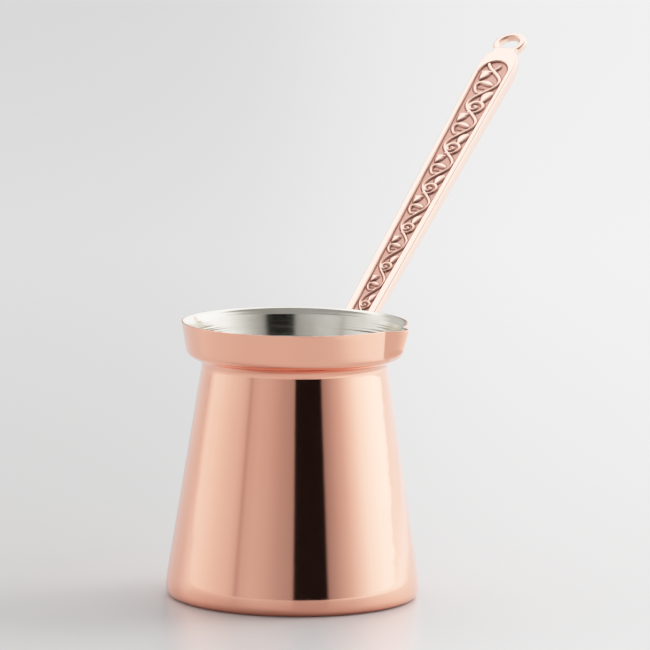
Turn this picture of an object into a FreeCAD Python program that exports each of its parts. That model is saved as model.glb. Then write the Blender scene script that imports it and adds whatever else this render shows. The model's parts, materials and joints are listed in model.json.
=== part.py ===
import FreeCAD, Part
import math
import os

import Sketcher

# A cezve, the long-handled pot for Turkish coffee: a spun copper vessel with a wide
# flat base, a straight cone, a short flaring collar and a small pouring spout, tinned
# inside, and a cast copper handle with a hanging eye, held on by three copper rivets.
#
# Frame: the origin is the centre of the base on the surface that the pot stands on.
# +Z is up, +Y runs towards the handle and +X, nearly, to the spout. Millimetres, degrees.

DIMENSIONS = {
    # vessel: outer surface
    "overall_height": 93.5,
    "base_radius": 43.0,
    "base_side": 5.5,
    "neck_radius": 31.0,
    "neck_height": 81.5,
    "collar_radius": 36.45,
    "rim_radius": 38.45,
    # vessel: sheet, tin coat and bevelled lip
    "wall": 1.3,
    "tin": 0.2,
    "lip_bevel": 2.3,
    "lip_edge": 0.35,
    # vessel: roundings of the outer surface
    "base_round": 2.8,
    "side_round": 25.0,
    "neck_round": 3.0,
    "collar_round": 3.2,
    # spout: a V pressed outwards over the whole collar; its reach is beyond the collar's
    # own surface, its slant is the run along its point of a surface moved in by 1, and
    # its turn is the angle about +Z from +X to its point
    "spout_reach": 4.5,
    "spout_mid_reach": 3.4,
    "spout_mid_height": 85.8,
    "spout_low_height": 82.4,
    "spout_half_width": 7.6,
    "spout_run": 6.2,
    "spout_tip_width": 2.0,
    "spout_low_reach": -1.0,
    "spout_slant": 1.3,
    "spout_turn": -3.5,
    # handle: arm, bend and hanging eye; lengths are measured up the arm from its elbow,
    # the point where its middle line would meet that of the rivet plate
    "handle_tilt": 33.0,
    "elbow_height": 77.1,
    "bend_radius": 15.0,
    "arm_thick": 3.4,
    "arm_low_width": 11.4,
    "arm_high_width": 14.9,
    "arm_length": 164.0,
    "waist_width": 9.2,
    "waist_distance": 173.2,
    "shoulder_round": 7.0,
    "arm_edge_round": 0.7,
    "eye_distance": 179.7,
    "eye_radius": 6.2,
    "eye_hole_radius": 3.5,
    "eye_thick": 2.7,
    "eye_edge_round": 1.0,
    # handle: sunk panel for the ornament
    "panel_start": 23.0,
    "panel_end": 168.0,
    "panel_low_width": 6.4,
    "panel_high_width": 12.0,
    "panel_depth": 0.6,
    # handle: rivet plate that follows the cone
    "plate_thick": 2.6,
    "plate_top": 74.0,
    "plate_bottom": 49.5,
    "plate_half_width": 13.0,
    "plate_top_half_width": 9.5,
    "plate_foot_half_width": 4.0,
    "plate_corner_round": 3.6,
    "root_end": 60.0,
    "root_lift": 0.52,
    "joint_overlap": 1.0,
    # rivets
    "rivet_radius": 1.5,
    "rivet_head_radius": 2.6,
    "rivet_head_rise": 1.3,
    "rivet_tail_radius": 2.4,
    "rivet_tail_rise": 0.9,
    "rivet_sink": 0.2,
    "upper_rivet_height": 67.0,
    "upper_rivet_offset": 9.2,
    "lower_rivet_height": 54.5,
    # any tool that cuts a hole right through
    "hole_length": 12.0,
}


def driving_sheet(doc):
    """Put every driving dimension in one spreadsheet, a name beside each value."""
    sheet = doc.addObject("Spreadsheet::Sheet", "dims")
    for row, (name, value) in enumerate(DIMENSIONS.items(), start=1):
        sheet.set("A%d" % row, name)
        sheet.set("B%d" % row, str(value))
        sheet.setAlias("B%d" % row, name)
    doc.recompute()
    return sheet


def origin_plane(body, role):
    for feature in body.Origin.OriginFeatures:
        if feature.Role == role:
            return feature
    raise ValueError("no plane " + role)


def value_of(owner, expression):
    return float(owner.evalExpression(expression))


def bind_distance(sketch, kind, line, value, expression):
    """Tie the start of a line to the sketch's origin, at a distance read from the sheet."""
    constraint = Sketcher.Constraint(kind, -1, 1, line, 1, value)
    number = sketch.addConstraint(constraint)
    sketch.setExpression("Constraints[%d]" % number, expression)


def outline_sketch(body, name, role, corners, height=None):
    """A closed outline of straight edges; each corner is a pair of expressions."""
    sketch = body.newObject("Sketcher::SketchObject", name)
    sketch.AttachmentSupport = [(origin_plane(body, role), "")]
    sketch.MapMode = "FlatFace"
    if height is not None:
        sketch.setExpression("AttachmentOffset.Base.z", height)
    points = [FreeCAD.Vector(value_of(body, x), value_of(body, y), 0) for x, y in corners]
    count = len(points)
    for index in range(count):
        line = Part.LineSegment(points[index], points[(index + 1) % count])
        sketch.addGeometry(line, False)
    for index in range(count):
        sketch.addConstraint(Sketcher.Constraint("Coincident", index, 2, (index + 1) % count, 1))
    for index, (x, y) in enumerate(corners):
        bind_distance(sketch, "DistanceX", index, points[index].x, x)
        bind_distance(sketch, "DistanceY", index, points[index].y, y)
    return sketch


def add_revolution(body, sketch):
    feature = body.newObject("PartDesign::Revolution", sketch.Name + "_turned")
    feature.Profile = sketch
    feature.ReferenceAxis = (sketch, ["V_Axis"])
    feature.Angle = 360.0
    sketch.Visibility = False
    return feature


def add_pad(body, sketch, length, midplane=False):
    feature = body.newObject("PartDesign::Pad", sketch.Name + "_pad")
    feature.Profile = sketch
    feature.SideType = 2 if midplane else 0
    feature.setExpression("Length", length)
    return feature


def edges_where(feature, test):
    """Names of the feature's edges for which test(edge) is true."""
    shape = feature.Shape
    return ["Edge%d" % (index + 1) for index, edge in enumerate(shape.Edges) if test(edge)]


def add_fillet(body, base, radius, test):
    names = edges_where(base, test)
    if not names:
        raise ValueError("no edge to round on " + base.Name)
    feature = body.newObject("PartDesign::Fillet", base.Name + "_round")
    feature.Base = (base, names)
    feature.setExpression("Radius", radius)
    body.Document.recompute()
    return feature


def ring_edge(radius, height):
    """A test for a full circle about Z with this radius, at this height."""
    def test(edge):
        if not isinstance(edge.Curve, Part.Circle):
            return False
        same_radius = abs(edge.Curve.Radius - radius) < 0.01
        return same_radius and abs(edge.Curve.Center.z - height) < 0.01
    return test


def wall_radius_at(height):
    """Outer radius of the cone at a height, as an expression."""
    rise = "(dims.neck_height - dims.base_side)"
    run = "(dims.base_radius - dims.neck_radius)"
    return "(dims.base_radius - %s * (%s - dims.base_side) / %s)" % (run, height, rise)


def collar_radius_at(height):
    rise = "(dims.overall_height - dims.neck_height)"
    run = "(dims.rim_radius - dims.collar_radius)"
    return "(dims.collar_radius + %s * (%s - dims.neck_height) / %s)" % (run, height, rise)


def spout_section(body, name, height, reach, inset):
    """One level section of the spout: a blunt triangle that points out over the rim."""
    tip = "(%s + %s - dims.spout_slant * %s)" % (collar_radius_at(height), reach, inset)
    foot = "(%s - dims.spout_run)" % tip
    corners = [
        (foot, "-dims.spout_half_width"),
        (tip, "-dims.spout_tip_width / 2"),
        (tip, "dims.spout_tip_width / 2"),
        (foot, "dims.spout_half_width"),
    ]
    section = outline_sketch(body, name, "XY_Plane", corners, height)
    section.setExpression("AttachmentOffset.Rotation.Angle", "dims.spout_turn * 1deg")
    return section


def vessel_form(doc, name, inset, lip):
    """The solid inside one surface of the vessel, moved in from the outer one by inset."""
    body = doc.addObject("PartDesign::Body", name)
    corners = [
        ("0", inset),
        ("dims.base_radius - " + inset, inset),
        ("dims.base_radius - " + inset, "dims.base_side"),
        ("dims.neck_radius - " + inset, "dims.neck_height + " + inset),
        ("dims.collar_radius - " + inset, "dims.neck_height + " + inset),
    ]
    if lip is None:
        corners.append(("dims.rim_radius", "dims.overall_height"))
    else:
        bevel_height = "(dims.overall_height - dims.lip_bevel)"
        corners.append(("%s - %s" % (collar_radius_at(bevel_height), inset), bevel_height))
        corners.append(("dims.rim_radius - " + lip, "dims.overall_height"))
    corners.append(("0", "dims.overall_height"))
    profile = outline_sketch(body, name + "_profile", "XZ_Plane", corners)
    turned = add_revolution(body, profile)
    doc.recompute()

    depth = value_of(body, inset)
    base_radius = value_of(body, "dims.base_radius") - depth
    neck_radius = value_of(body, "dims.neck_radius") - depth
    collar_radius = value_of(body, "dims.collar_radius") - depth
    side_height = value_of(body, "dims.base_side")
    neck_height = value_of(body, "dims.neck_height") + depth
    tip = turned
    for radius, test in (
        ("dims.side_round - " + inset, ring_edge(base_radius, side_height)),
        ("dims.base_round - " + inset, ring_edge(base_radius, depth)),
        ("dims.neck_round + " + inset, ring_edge(neck_radius, neck_height)),
        ("dims.collar_round - " + inset, ring_edge(collar_radius, neck_height)),
    ):
        tip = add_fillet(body, tip, radius, test)

    levels = [
        ("low", "(dims.spout_low_height + %s)" % inset, "dims.spout_low_reach"),
        ("mid", "dims.spout_mid_height", "dims.spout_mid_reach"),
        ("top", "dims.overall_height", "dims.spout_reach"),
    ]
    sections = [
        spout_section(body, "%s_spout_%s" % (name, level), height, reach, inset)
        for level, height, reach in levels
    ]
    spout = body.newObject("PartDesign::AdditiveLoft", name + "_spout")
    spout.Profile = sections[0]
    spout.Sections = sections[1:]
    spout.Ruled = True
    body.Tip = spout
    doc.recompute()
    return body


def wall_lean():
    """How far the cone's side leans from upright, as an expression."""
    rise = "(dims.neck_height - dims.base_side)"
    run = "(dims.base_radius - dims.neck_radius)"
    return "atan(%s / %s)" % (run, rise)


def half_bend():
    """Half the angle through which the handle turns from its arm to its plate."""
    return "((90deg + %s - dims.handle_tilt * 1deg) / 2)" % wall_lean()


def arm_start():
    """Distance from the elbow to where the bend ends and the straight arm begins."""
    return "(dims.bend_radius * tan(%s))" % half_bend()


def elbow_reach():
    """Distance of the elbow from the pot's axis."""
    return "(%s + dims.root_lift + dims.arm_thick / 2)" % wall_radius_at("dims.elbow_height")


def arm_form(doc):
    """The straight arm, lying along its own +Y from the elbow, with its panel and eye."""
    body = doc.addObject("PartDesign::Body", "arm_form")
    half_low = "dims.arm_low_width / 2"
    half_high = "dims.arm_high_width / 2"
    half_waist = "dims.waist_width / 2"
    outline = outline_sketch(body, "arm_outline", "XY_Plane", [
        (half_low, arm_start()),
        (half_high, "dims.arm_length"),
        (half_waist, "dims.waist_distance"),
        (half_waist, "dims.eye_distance"),
        ("-" + half_waist, "dims.eye_distance"),
        ("-" + half_waist, "dims.waist_distance"),
        ("-" + half_high, "dims.arm_length"),
        ("-" + half_low, arm_start()),
    ])
    bar = add_pad(body, outline, "dims.arm_thick", midplane=True)
    doc.recompute()

    half_width = value_of(body, half_high)
    length = value_of(body, "dims.arm_length")
    start = value_of(body, arm_start())
    waist = value_of(body, "dims.waist_distance")
    half_thick = value_of(body, "dims.arm_thick") / 2

    def shoulder_edge(edge):
        middle = edge.CenterOfMass
        at_side = abs(abs(middle.x) - half_width) < 0.01
        return at_side and abs(middle.y - length) < 0.01 and abs(middle.z) < 0.01

    def long_edge(edge):
        middle = edge.CenterOfMass
        on_face = abs(abs(middle.z) - half_thick) < 0.01
        return on_face and start + 1 < middle.y < waist

    bar = add_fillet(body, bar, "dims.shoulder_round", shoulder_edge)
    bar = add_fillet(body, bar, "dims.arm_edge_round", long_edge)
    bar = add_panel(body, bar)
    body.Tip = bar
    body.Placement = FreeCAD.Placement(
        FreeCAD.Vector(0, value_of(body, elbow_reach()), value_of(body, "dims.elbow_height")),
        FreeCAD.Rotation(FreeCAD.Vector(1, 0, 0), value_of(body, "dims.handle_tilt")),
    )
    return body


def add_panel(body, bar):
    """The sunk panel in the arm's upper face, pointed like an arch at its far end."""
    arch_start = "(dims.panel_end - dims.panel_high_width / 3)"
    panel = outline_sketch(body, "panel_outline", "XY_Plane", [
        ("dims.panel_low_width / 2", "dims.panel_start"),
        ("dims.panel_high_width / 2", arch_start),
        ("dims.panel_high_width / 5", "dims.panel_end"),
        ("-dims.panel_high_width / 5", "dims.panel_end"),
        ("-dims.panel_high_width / 2", arch_start),
        ("-dims.panel_low_width / 2", "dims.panel_start"),
    ], "(dims.arm_thick / 2 - dims.panel_depth)")
    recess = body.newObject("PartDesign::Pocket", "panel_recess")
    recess.Profile = panel
    recess.Reversed = True
    recess.setExpression("Length", "dims.panel_depth * 2")
    body.Document.recompute()
    if not recess.Shape.Volume < bar.Shape.Volume - 1:
        raise ValueError("the panel recess cuts nothing")
    return recess


def eye_form(doc, arm):
    """The disc of the hanging eye, in the arm's own frame, with its hole cut through."""
    disc = doc.addObject("Part::Cylinder", "eye_disc")
    disc.setExpression("Radius", "dims.eye_radius")
    disc.setExpression("Height", "dims.eye_thick")
    doc.recompute()
    radius = value_of(disc, "dims.eye_edge_round")
    rims = [
        (number, radius, radius)
        for number, edge in enumerate(disc.Shape.Edges, start=1)
        if isinstance(edge.Curve, Part.Circle)
    ]
    rounded = doc.addObject("Part::Fillet", "eye_rounded")
    rounded.Base = disc
    rounded.Edges = rims
    rounded.Placement = in_arm_frame(arm, "-dims.eye_thick / 2")
    return rounded


def eye_hole(doc, arm):
    hole = doc.addObject("Part::Cylinder", "eye_hole")
    hole.setExpression("Radius", "dims.eye_hole_radius")
    hole.setExpression("Height", "dims.hole_length")
    hole.Placement = in_arm_frame(arm, "-dims.hole_length / 2")
    return hole


def in_arm_frame(arm, depth):
    """The place of a round feature on the eye's axis, starting at a depth below its middle."""
    distance = value_of(arm, "dims.eye_distance")
    place = FreeCAD.Placement(FreeCAD.Vector(0, distance, value_of(arm, depth)), FreeCAD.Rotation())
    return arm.Placement.multiply(place)


def shifted(point, distance, angle):
    """A point moved by a distance at an angle, as a pair of expressions."""
    return (
        "%s + %s * cos(%s)" % (point[0], distance, angle),
        "%s + %s * sin(%s)" % (point[1], distance, angle),
    )


def root_form(doc):
    """The bent foot of the arm: it leaves the plate and turns out and up into the arm."""
    body = doc.addObject("PartDesign::Body", "root_form")
    half_thick = "dims.arm_thick / 2"
    to_corner = "(%s / cos(%s))" % (half_thick, half_bend())
    along_arm = "dims.handle_tilt * 1deg"
    across_arm = "dims.handle_tilt * 1deg - 90deg"
    across_bend = "%s + %s" % (across_arm, half_bend())
    elbow = (elbow_reach(), "dims.elbow_height")
    arm_end = shifted(elbow, "(%s + dims.joint_overlap)" % arm_start(), along_arm)
    foot = "(%s + dims.root_lift)" % wall_radius_at("dims.root_end")
    profile = outline_sketch(body, "root_profile", "YZ_Plane", [
        (foot, "dims.root_end"),
        (foot + " + dims.arm_thick", "dims.root_end"),
        shifted(elbow, to_corner, across_bend),
        shifted(arm_end, half_thick, across_arm),
        shifted(arm_end, "(-1) * " + half_thick, across_arm),
        shifted(elbow, "(-1) * " + to_corner, across_bend),
    ])
    bar = add_pad(body, profile, "dims.arm_low_width", midplane=True)
    doc.recompute()

    elbow_height = value_of(body, "dims.elbow_height")
    drop = value_of(body, "%s * sin(%s)" % (to_corner, across_bend))

    def bend_edge(height):
        def test(edge):
            middle = edge.CenterOfMass
            return abs(middle.x) < 0.01 and abs(middle.z - height) < 0.01
        return test

    bar = add_fillet(body, bar, "dims.bend_radius - " + half_thick, bend_edge(elbow_height + drop))
    bar = add_fillet(body, bar, "dims.bend_radius + " + half_thick, bend_edge(elbow_height - drop))
    body.Tip = bar
    return body


def plate_form(doc):
    """The rivet plate: a rounded shield cut from a band that lies on the cone."""
    band = doc.addObject("PartDesign::Body", "plate_band")
    low = "(dims.plate_bottom - dims.joint_overlap)"
    high = "(dims.plate_top + dims.joint_overlap)"
    profile = outline_sketch(band, "plate_band_profile", "XZ_Plane", [
        (wall_radius_at(low), low),
        (wall_radius_at(low) + " + dims.plate_thick", low),
        (wall_radius_at(high) + " + dims.plate_thick", high),
        (wall_radius_at(high), high),
    ])
    add_revolution(band, profile)

    shield = doc.addObject("PartDesign::Body", "plate_shield")
    middle = "(dims.lower_rivet_height + dims.upper_rivet_height) / 2"
    outline = outline_sketch(shield, "plate_outline", "XZ_Plane", [
        ("-dims.plate_foot_half_width", "dims.plate_bottom"),
        ("dims.plate_foot_half_width", "dims.plate_bottom"),
        ("dims.plate_half_width", middle),
        ("dims.plate_half_width", "dims.upper_rivet_height"),
        ("dims.plate_top_half_width", "dims.plate_top"),
        ("-dims.plate_top_half_width", "dims.plate_top"),
        ("-dims.plate_half_width", "dims.upper_rivet_height"),
        ("-dims.plate_half_width", middle),
    ])
    block = add_pad(shield, outline, "dims.base_radius + dims.plate_thick")
    block.Reversed = True
    doc.recompute()

    def upright_corner(edge):
        direction = edge.tangentAt(edge.FirstParameter)
        return abs(abs(direction.y) - 1) < 0.01
    add_fillet(shield, block, "dims.plate_corner_round", upright_corner)
    return join(doc, "Part::MultiCommon", "plate_form", [band, shield])


def join(doc, kind, name, shapes):
    feature = doc.addObject(kind, name)
    feature.Shapes = shapes
    return feature


def cut(doc, name, base, tool):
    feature = doc.addObject("Part::Cut", name)
    feature.Base = base
    feature.Tool = tool
    return feature


def rivet_places(sheet):
    """Name and place of each rivet; its own Z points straight out of the cone's side."""
    lean = value_of(sheet, wall_lean())
    places = {}
    for name, side, height_name in (
        ("rivet_left", -1, "upper_rivet_height"),
        ("rivet_right", 1, "upper_rivet_height"),
        ("rivet_lower", 0, "lower_rivet_height"),
    ):
        height = DIMENSIONS[height_name]
        radius = value_of(sheet, wall_radius_at("dims." + height_name))
        offset = side * DIMENSIONS["upper_rivet_offset"]
        around = math.degrees(math.asin(offset / radius))
        outwards = FreeCAD.Rotation(FreeCAD.Vector(1, 0, 0), lean - 90)
        turn = FreeCAD.Rotation(FreeCAD.Vector(0, 0, 1), -around)
        centre = turn.multVec(FreeCAD.Vector(0, radius, 0)) + FreeCAD.Vector(0, 0, height)
        places[name] = FreeCAD.Placement(centre, turn.multiply(outwards))
    return places


def rivet_form(doc, name, place):
    """A rivet turned about its own Z: shank, outer head and the head formed inside."""
    body = doc.addObject("PartDesign::Body", name + "_form")
    inside = "(0 - dims.wall - dims.tin)"
    profile = outline_sketch(body, name + "_profile", "XZ_Plane", [
        ("0", inside + " - dims.rivet_tail_rise"),
        ("dims.rivet_tail_radius * 0.55", inside + " - dims.rivet_tail_rise"),
        ("dims.rivet_tail_radius", inside + " - dims.rivet_tail_rise * 0.35"),
        ("dims.rivet_tail_radius", inside + " + dims.rivet_sink"),
        ("dims.rivet_radius", inside + " + dims.rivet_sink"),
        ("dims.rivet_radius", "dims.plate_thick - dims.rivet_sink"),
        ("dims.rivet_head_radius", "dims.plate_thick - dims.rivet_sink"),
        ("dims.rivet_head_radius", "dims.plate_thick + dims.rivet_head_rise * 0.35"),
        ("dims.rivet_head_radius * 0.55", "dims.plate_thick + dims.rivet_head_rise"),
        ("0", "dims.plate_thick + dims.rivet_head_rise"),
    ])
    add_revolution(body, profile)
    body.Placement = place
    return body


def shank_hole(doc, name, place):
    hole = doc.addObject("Part::Cylinder", name + "_hole")
    hole.setExpression("Radius", "dims.rivet_radius")
    hole.setExpression("Height", "dims.hole_length")
    half = value_of(hole, "dims.hole_length / 2")
    start = FreeCAD.Placement(FreeCAD.Vector(0, 0, -half), FreeCAD.Rotation())
    hole.Placement = place.multiply(start)
    return hole


def build(doc):
    """Make every piece and return the finished ones by name."""
    sheet = driving_sheet(doc)
    outer = vessel_form(doc, "outer_form", "0", None)
    inner = vessel_form(doc, "inner_form", "dims.wall", "dims.lip_edge")
    lining = vessel_form(doc, "lining_form", "(dims.wall + dims.tin)", "(dims.lip_edge + dims.tin)")

    places = rivet_places(sheet)
    holes = [shank_hole(doc, name, place) for name, place in places.items()]
    all_holes = join(doc, "Part::MultiFuse", "rivet_holes", holes)

    arm = arm_form(doc)
    eye = eye_form(doc, arm)
    root = root_form(doc)
    plate = plate_form(doc)
    blank = join(doc, "Part::MultiFuse", "handle_blank", [arm, eye, root, plate])
    bored = cut(doc, "handle_bored", blank, eye_hole(doc, arm))

    pieces = {
        "pot_shell": cut(doc, "pot_shell", cut(doc, "shell_blank", outer, inner), all_holes),
        "tin_lining": cut(doc, "tin_lining", cut(doc, "lining_blank", inner, lining), all_holes),
        "handle": cut(doc, "handle", bored, all_holes),
    }
    stack = join(doc, "Part::MultiFuse", "riveted_stack", list(pieces.values()))
    for name, place in places.items():
        pieces[name] = cut(doc, name, rivet_form(doc, name, place), stack)
    doc.recompute()
    return pieces


def check(doc, pieces):
    for item in doc.Objects:
        if "Invalid" in item.State or "Error" in item.State:
            raise ValueError("%s failed: %s" % (item.Name, item.State))
    for name, piece in pieces.items():
        shape = piece.Shape
        if shape.isNull() or not shape.isValid():
            raise ValueError(name + " has no valid shape")
        if len(shape.Solids) != 1:
            raise ValueError("%s has %d solids" % (name, len(shape.Solids)))
        print("%-12s %9.1f mm3  %s" % (name, shape.Volume, shape.BoundBox))


def main():
    doc = FreeCAD.newDocument("cezve")
    pieces = build(doc)
    check(doc, pieces)
    os.makedirs("parts", exist_ok=True)
    for name, piece in pieces.items():
        piece.Label = name
        piece.Shape.exportStep("parts/%s.step" % name)


main()
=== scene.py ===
import json
import math

import bpy
import numpy as np
from mathutils import Matrix, Vector


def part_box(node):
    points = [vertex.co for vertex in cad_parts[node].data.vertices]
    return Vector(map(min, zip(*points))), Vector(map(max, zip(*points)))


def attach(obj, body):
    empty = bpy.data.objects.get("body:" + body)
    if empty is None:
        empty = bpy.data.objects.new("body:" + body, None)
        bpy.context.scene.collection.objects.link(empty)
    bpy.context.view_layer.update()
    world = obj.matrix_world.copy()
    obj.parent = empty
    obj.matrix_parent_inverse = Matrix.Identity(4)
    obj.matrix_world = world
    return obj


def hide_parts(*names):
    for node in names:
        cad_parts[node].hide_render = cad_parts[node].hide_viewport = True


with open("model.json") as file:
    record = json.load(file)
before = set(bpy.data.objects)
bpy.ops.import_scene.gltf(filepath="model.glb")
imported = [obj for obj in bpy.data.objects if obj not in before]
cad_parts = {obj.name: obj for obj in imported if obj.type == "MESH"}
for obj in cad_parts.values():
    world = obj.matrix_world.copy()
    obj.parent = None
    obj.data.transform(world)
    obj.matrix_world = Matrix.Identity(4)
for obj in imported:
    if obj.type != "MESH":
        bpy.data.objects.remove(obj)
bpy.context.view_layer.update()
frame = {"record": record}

# A copper coffee pot with a cast handle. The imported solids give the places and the
# outer sizes; the pieces here follow the same sheet and casting, in millimetres, and
# are written out in metres. +Z is up, +Y runs towards the handle, +X to the spout.
# The panel's vine and a rounder spout are only here, and the arm's back is thicker
# towards its waist than the solid's.

MM = 0.001
SHELL_LOW, SHELL_HIGH = (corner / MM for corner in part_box("pot_shell"))
TIN_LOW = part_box("tin_lining")[0] / MM

# Vessel, read from the frame: heights and radii of the outer surface.
HEIGHT = SHELL_HIGH.z
BASE_RADIUS = SHELL_HIGH.y
WALL = TIN_LOW.z - SHELL_LOW.z

# Vessel, the rest of its sheet-metal outline.
BASE_SIDE = 5.5
NECK_RADIUS = 31.0
NECK_HEIGHT = 81.5
COLLAR_RADIUS = 36.45
RIM_RADIUS = 38.45
TIN = 0.2
LIP_BEVEL = 2.3
BEVEL_ROUND = 0.6
LIP_EDGE = 0.35
LIP_ROUND = 0.15
BASE_ROUND = 2.8
SIDE_ROUND = 25.0
NECK_ROUND = 3.0
COLLAR_ROUND = 3.2

# Vessel, the mesh: the longest piece of an outline that shows, and of one that doesn't.
OUTSIDE_STEP = 1.6
TIN_STEP = 1.4
HIDDEN_STEP = 6.0
SKIN_GAP = 0.02

# Spout, a V pressed out of the collar nearly along +X.
SPOUT_TURN = -3.5
SPOUT_REACH = 4.5
SPOUT_MID_REACH = 3.4
SPOUT_MID_HEIGHT = 85.8
SPOUT_LOW_REACH = -1.0
SPOUT_LOW_HEIGHT = 82.4
SPOUT_FADE_BELOW = 1.2
SPOUT_SUNK = 1.0
SPOUT_SLOPE = 1.24
SPOUT_SLANT = 1.3
SPOUT_BLEND = 3.0
SPOUT_FOOT_BELOW_NECK = 0.4
SPOUT_TIP_SOFTNESS = 0.10
SPOUT_CREASE_SOFTNESS = 0.12
SPOUT_FAN = 14
FAN_STEP = 0.25
ROUND_STEP = 1.2

# Handle, in its own frame: along runs up the arm, and is 0 at the elbow.
HANG_HOLE = next(m for m in frame["record"]["mounts"] if m["name"] == "hang_hole")
EYE_CENTRE = Vector(HANG_HOLE["pos_m"]) / MM
FACE_NORMAL = Vector(HANG_HOLE["axis"])
ALONG = Vector((0, FACE_NORMAL.z, -FACE_NORMAL.y))
EYE_HOLE_RADIUS = HANG_HOLE["dims"]["r_mm"]
EYE_THICK = HANG_HOLE["dims"]["length_mm"]
EYE_RADIUS = 6.2
EYE_DISTANCE = 179.7
EYE_SQUARENESS = 3.2
ARM_THICK = 3.4
ARM_BACK_GAIN = 1.3
ARM_BACK_POWER = 1.5
ARM_LOW_WIDTH = 11.4
ARM_HIGH_WIDTH = 14.9
ARM_LENGTH = 164.0
SHOULDER_START = ARM_LENGTH - 3.0
SHOULDER_POWER = 2.4
WAIST_WIDTH = 9.2
WAIST_DISTANCE = 173.2
BEND_RADIUS = 15.0
ROOT_END = 60.0
ARM_EDGE_ROUND = 0.55
FACE_COLUMNS = 64
ROOT_STEP = 0.5
BEND_STATIONS = 60
ARM_STEP = 0.24
ARM_GAP = 0.4

# Handle, the ornamented panel and its vine. Sizes of the stem and of the motifs are in
# units of half the panel's width, and so is the arch; rises are shares of the depth.
PANEL_START = 23.0
PANEL_END = 168.0
PANEL_LOW_WIDTH = 6.4
PANEL_HIGH_WIDTH = 12.0
PANEL_DEPTH = 0.7
PANEL_ARCH = 1.3
PANEL_FOOT = 2.5
PANEL_WALL = 0.40
RELIEF_START = PANEL_START - 4
VINE_FIRST = 27.2
VINE_PITCH = 20.6
VINE_PITCH_GROWTH = 0.41
VINE_RISE = 0.9
VINE_EDGE_FADE = (0.15, 0.65)
STEM_MIDDLE = 0.11
STEM_SWING = 0.69
STEM_LAG = 0.085
STEM_HALF_WIDTH = 0.125
MOTIFS = 12
MOTIF_SCALE = 0.95
MOTIF_SHIFT = 0.16
MOTIF_REACH = 2.2
LEAF_RISE = 1.05
LEAF_FULLNESS = 0.45
RELIEF_END = PANEL_END + 1
RELIEF_MARGIN = 0.5
RELIEF_DEEPEST = 1.2
# The painted shade in the panel's crevices: how far round a point is looked, and the depth that gets
# full painted shade.
CREVICE_REACH = 0.42
CREVICE_FULL = 0.12

# Handle, the plate on the cone, and the rivets.
PLATE_THICK = 2.6
PLATE_TOP = 74.0
PLATE_BOTTOM = 49.5
PLATE_HALF_WIDTH = 13.0
PLATE_SQUARENESS = 2.6
PLATE_NARROWING = 0.38
PLATE_EDGE = 0.14
PLATE_EDGE_SHARE = 0.55
RIVET_RADIUS = 1.5
RIVET_HEAD_RADIUS = 2.6
RIVET_HEAD_RISE = 1.3
RIVET_TAIL_RADIUS = 2.4
RIVET_TAIL_RISE = 0.9
RIVET_COLUMNS = 48


# ---------------------------------------------------------------- outlines

def rounded_outline(corners, step):
    """Points along a polyline of (x, y, radius) corners, with an arc at each corner."""
    points = [np.array(corners[0][:2], float)]
    for before, corner, after in zip(corners, corners[1:], corners[2:]):
        here = np.array(corner[:2], float)
        radius = corner[2]
        if radius == 0:
            points.append(here)
            continue
        back = np.array(before[:2], float) - here
        ahead = np.array(after[:2], float) - here
        back /= np.linalg.norm(back)
        ahead /= np.linalg.norm(ahead)
        half = math.acos(np.clip(back @ ahead, -1, 1)) / 2
        setback = radius / math.tan(half)
        middle = (back + ahead) / np.linalg.norm(back + ahead)
        centre = here + middle * radius / math.sin(half)
        start = here + back * setback - centre
        end = here + ahead * setback - centre
        turn = math.atan2(start[0] * end[1] - start[1] * end[0], start @ end)
        count = max(3, math.ceil(abs(turn) / math.radians(9)))
        for share in np.linspace(0, 1, count + 1):
            cos, sin = math.cos(turn * share), math.sin(turn * share)
            spoke = np.array((start[0] * cos - start[1] * sin, start[0] * sin + start[1] * cos))
            points.append(centre + spoke)
    points.append(np.array(corners[-1][:2], float))
    return divided(points, step)


def divided(points, step):
    """The same polyline with its long runs cut into pieces no longer than step."""
    fine = [points[0]]
    for start, end in zip(points, points[1:]):
        count = max(1, math.ceil(np.linalg.norm(end - start) / step))
        for index in range(1, count + 1):
            fine.append(start + (end - start) * index / count)
    return np.array(fine)


def collar_radius_at(height):
    share = (height - NECK_HEIGHT) / (HEIGHT - NECK_HEIGHT)
    return COLLAR_RADIUS + (RIM_RADIUS - COLLAR_RADIUS) * share


def wall_radius_at(height):
    share = (height - BASE_SIDE) / (NECK_HEIGHT - BASE_SIDE)
    return BASE_RADIUS + (NECK_RADIUS - BASE_RADIUS) * share


def cone_lean():
    """The angle by which the cone's wall leans in from upright."""
    return math.atan2(BASE_RADIUS - NECK_RADIUS, NECK_HEIGHT - BASE_SIDE)


def wall_corners(inset):
    """Corners of one surface of the sheet, from the middle of the base to the collar."""
    return [
        (0.0, inset, 0),
        (BASE_RADIUS - inset, inset, BASE_ROUND - inset),
        (BASE_RADIUS - inset, BASE_SIDE, SIDE_ROUND),
        (NECK_RADIUS - inset, NECK_HEIGHT + inset, NECK_ROUND + inset),
        (COLLAR_RADIUS - inset, NECK_HEIGHT + inset, COLLAR_ROUND - inset),
    ]


def bevel_corner(inset):
    height = HEIGHT - LIP_BEVEL
    return (collar_radius_at(height) - inset, height, BEVEL_ROUND)


# ---------------------------------------------------------------- meshes

def new_mesh_object(name, vertices, faces):
    mesh = bpy.data.meshes.new(name)
    mesh.from_pydata((np.asarray(vertices) * MM).tolist(), [], faces)
    mesh.validate()
    mesh.update()
    obj = bpy.data.objects.new(name, mesh)
    bpy.context.scene.collection.objects.link(obj)
    for polygon in mesh.polygons:
        polygon.use_smooth = True
    return obj


def grid_faces(rows, columns):
    """Quads between neighbouring rows; the last column joins the first."""
    faces = []
    for row in range(rows - 1):
        for column in range(columns):
            after = (column + 1) % columns
            low = row * columns
            high = low + columns
            faces.append((low + column, low + after, high + after, high + column))
    return faces


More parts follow.
